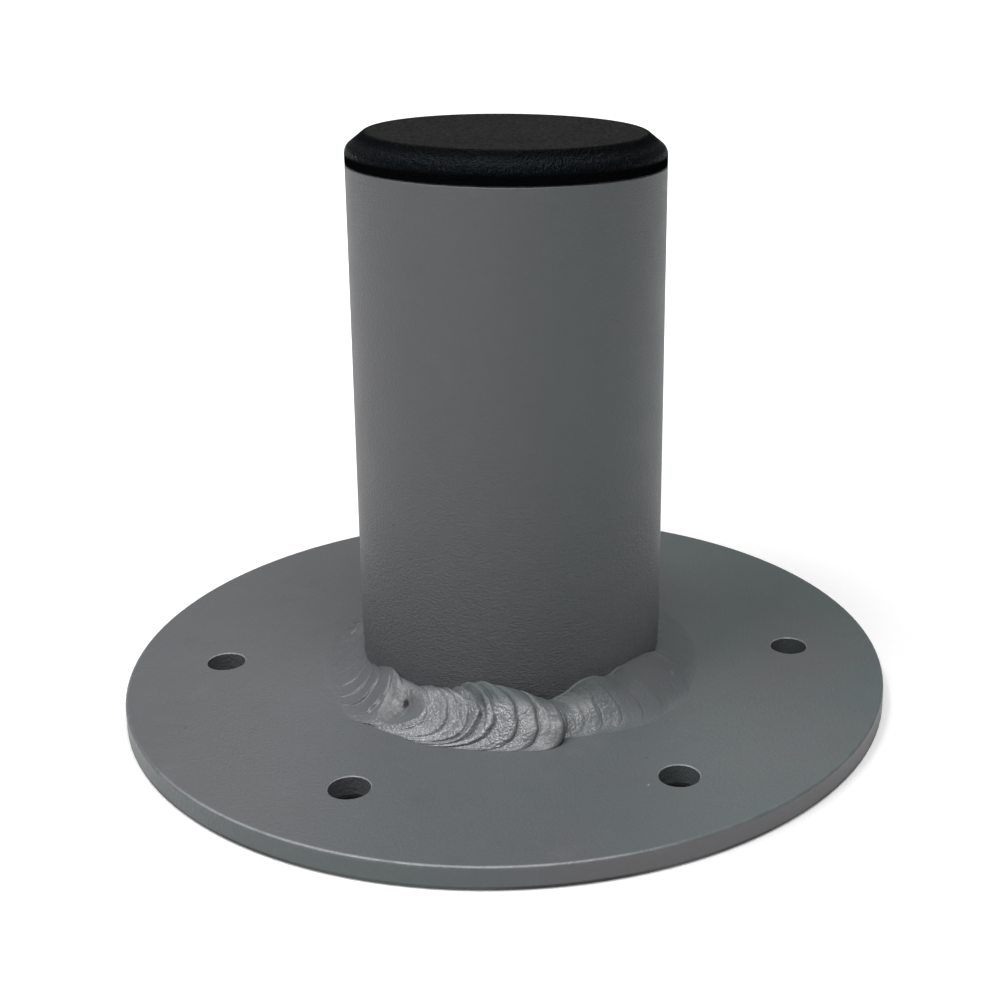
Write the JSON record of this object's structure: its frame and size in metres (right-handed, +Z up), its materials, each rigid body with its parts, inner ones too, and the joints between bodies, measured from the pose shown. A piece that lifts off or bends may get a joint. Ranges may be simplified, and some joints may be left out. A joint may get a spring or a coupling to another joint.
{
  "type": "deck mount",
  "caption": "Round bolt-down plate with an upright tube stub welded to its centre and a black plastic plug in the tube's end.",
  "frame": {"origin": "centre of the plate's underside", "axes": "+Z up along the tube, +X towards a bolt hole, -Y towards the front view"},
  "size_m": [0.1524, 0.1524, 0.1122],
  "materials": {
    "powder_coat_plate": "fine satin grey powder coat",
    "powder_coat_tube": "satin grey powder coat with a light orange peel",
    "powder_coat_weld": "grey powder coat over weld ripples",
    "cap_plastic": "fine-grained black moulding"
  },
  "bodies": {
    "root": {"base_plate": "powder_coat_plate", "post_tube": "powder_coat_tube", "weld_bead": "powder_coat_weld", "end_cap": "cap_plastic"}
  },
  "joints": []
}
